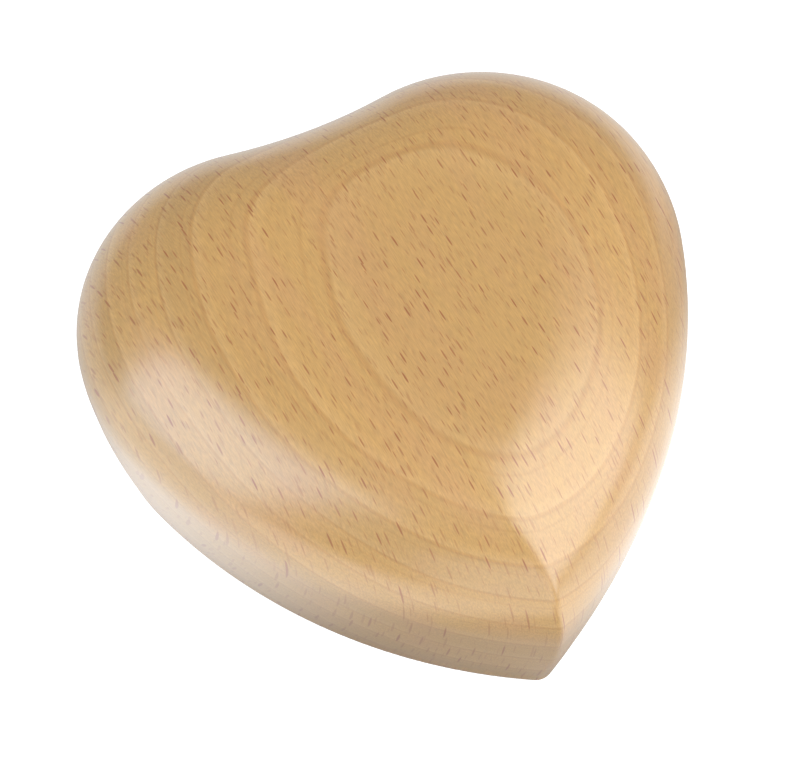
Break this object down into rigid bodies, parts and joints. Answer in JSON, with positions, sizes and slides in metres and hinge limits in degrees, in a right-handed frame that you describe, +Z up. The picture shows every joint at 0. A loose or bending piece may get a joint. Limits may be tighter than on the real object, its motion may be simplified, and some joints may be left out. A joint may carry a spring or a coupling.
{
  "type": "wind up music box",
  "caption": "Heart-shaped wooden music box with a domed top and a round cover below; a butterfly key in the underside recess winds a movement that plays a pinned cylinder on a steel comb.",
  "frame": {"origin": "middle of the bounding box on the plane of the underside", "axes": "+Z up, +X to the right lobe with the tip of the heart towards -Y"},
  "size_m": [0.1046, 0.1048, 0.046],
  "materials": {
    "beech": "satin lacquer",
    "plywood": "sanded",
    "zinc_plated_steel": "zinc plated",
    "die_cast_zinc": "as cast",
    "nickel_plate": "nickel plated",
    "spring_steel": "ground",
    "brass": "turned",
    "brass_key": "polished",
    "nylon": "moulded"
  },
  "bodies": {
    "case": {"heart_case": "beech", "base_plate": "plywood", "base_plate_screws": "zinc_plated_steel", "movement_screws": "zinc_plated_steel", "bedplate": "die_cast_zinc", "spring_housing": "nickel_plate", "spring_cap": "nickel_plate", "mainspring": "spring_steel", "left_bridge": "die_cast_zinc", "right_bridge": "die_cast_zinc", "bridge_screws": "zinc_plated_steel", "comb": "spring_steel", "comb_block": "die_cast_zinc", "comb_screws": "zinc_plated_steel", "governor_frame": "nickel_plate", "governor_screws": "zinc_plated_steel"},
    "great_wheel": {"great_wheel": "brass", "click_post": "zinc_plated_steel", "click_spring": "spring_steel"},
    "click": {"click": "spring_steel"},
    "winding": {"winding_arbor": "zinc_plated_steel", "winding_key": "brass_key", "ratchet_wheel": "spring_steel", "arbor_clip": "spring_steel"},
    "cylinder": {"pinned_cylinder": "brass", "cylinder_end_caps": "brass", "cylinder_arbor": "zinc_plated_steel", "cylinder_gear": "brass"},
    "first_governor": {"first_governor_arbor": "zinc_plated_steel", "first_governor_pinion": "brass", "first_governor_wheel": "brass"},
    "second_governor": {"second_governor_arbor": "zinc_plated_steel", "second_governor_pinion": "brass", "worm_wheel": "nylon"},
    "fan": {"worm": "zinc_plated_steel", "fan": "nylon"}
  },
  "joints": [
    {"name": "great_wheel_turn", "type": "hinge", "parent": "case", "child": "great_wheel", "pos_m": [-0.01125, 0.01628, 0.0225], "axis": [0, 0, 1], "continuous": true},
    {"name": "key_wind", "type": "hinge", "parent": "great_wheel", "child": "winding", "pos_m": [-0.01125, 0.01628, 0.006], "axis": [0, 0, 1], "range_deg": [0, 2610]},
    {"name": "click_drop", "type": "hinge", "parent": "great_wheel", "child": "click", "pos_m": [-0.00745, 0.00969, 0.0236], "axis": [0, 0, 1], "range_deg": [0, 7.5]},
    {"name": "cylinder_spin", "type": "hinge", "parent": "case", "child": "cylinder", "pos_m": [-0.01125, 0.01628, 0.02973], "axis": [1, 0, 0], "continuous": true},
    {"name": "first_governor_spin", "type": "hinge", "parent": "case", "child": "first_governor", "pos_m": [-0.01125, 0.00313, 0.02672], "axis": [0, 1, 0], "continuous": true},
    {"name": "second_governor_spin", "type": "hinge", "parent": "case", "child": "second_governor", "pos_m": [-0.00425, -0.00178, 0.02285], "axis": [0, 1, 0], "continuous": true},
    {"name": "fan_spin", "type": "hinge", "parent": "case", "child": "fan", "pos_m": [-0.01085, -0.00553, 0.03], "axis": [0, 0, 1], "continuous": true}
  ],
  "couplings": [
    {"joint": "cylinder_spin", "follows": "great_wheel_turn", "ratio": 1.8333},
    {"joint": "first_governor_spin", "follows": "great_wheel_turn", "ratio": -3.6667},
    {"joint": "second_governor_spin", "follows": "great_wheel_turn", "ratio": 11},
    {"joint": "fan_spin", "follows": "great_wheel_turn", "ratio": -220}
  ]
}
